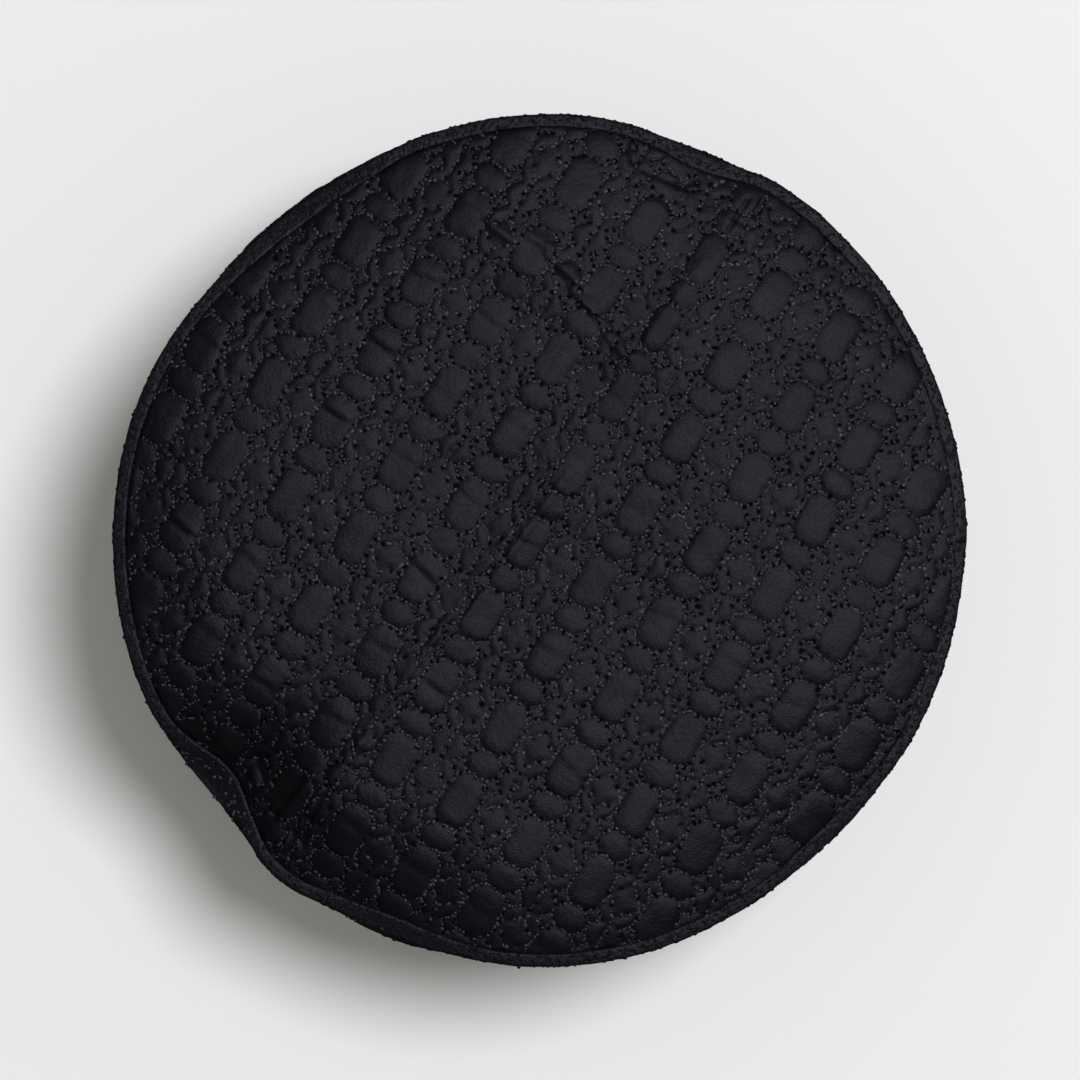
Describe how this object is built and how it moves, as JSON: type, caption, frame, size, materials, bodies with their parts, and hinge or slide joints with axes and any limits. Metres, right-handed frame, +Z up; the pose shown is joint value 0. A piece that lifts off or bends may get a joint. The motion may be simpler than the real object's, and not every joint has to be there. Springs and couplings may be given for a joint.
{
  "type": "prayer cap",
  "caption": "Round flat-topped prayer cap in black quilted, embroidered cotton, standing on its open rim, with a fold line across the crown.",
  "frame": {"origin": "middle of the cap's outline from above, at the rim's lower edge, on the surface it stands on", "axes": "+Z up from the rim to the crown; +X and +Y lie in the rim's plane, and the crown's fold line runs at about 54 degrees from +X towards +Y"},
  "size_m": [0.1908, 0.1904, 0.0855],
  "materials": {
    "crown_cotton": "matte quilted cotton with raised embroidery thread",
    "band_cotton": "matte quilted cotton with raised embroidery thread"
  },
  "bodies": {
    "root": {"crown": "crown_cotton", "side_band": "band_cotton"}
  },
  "joints": []
}
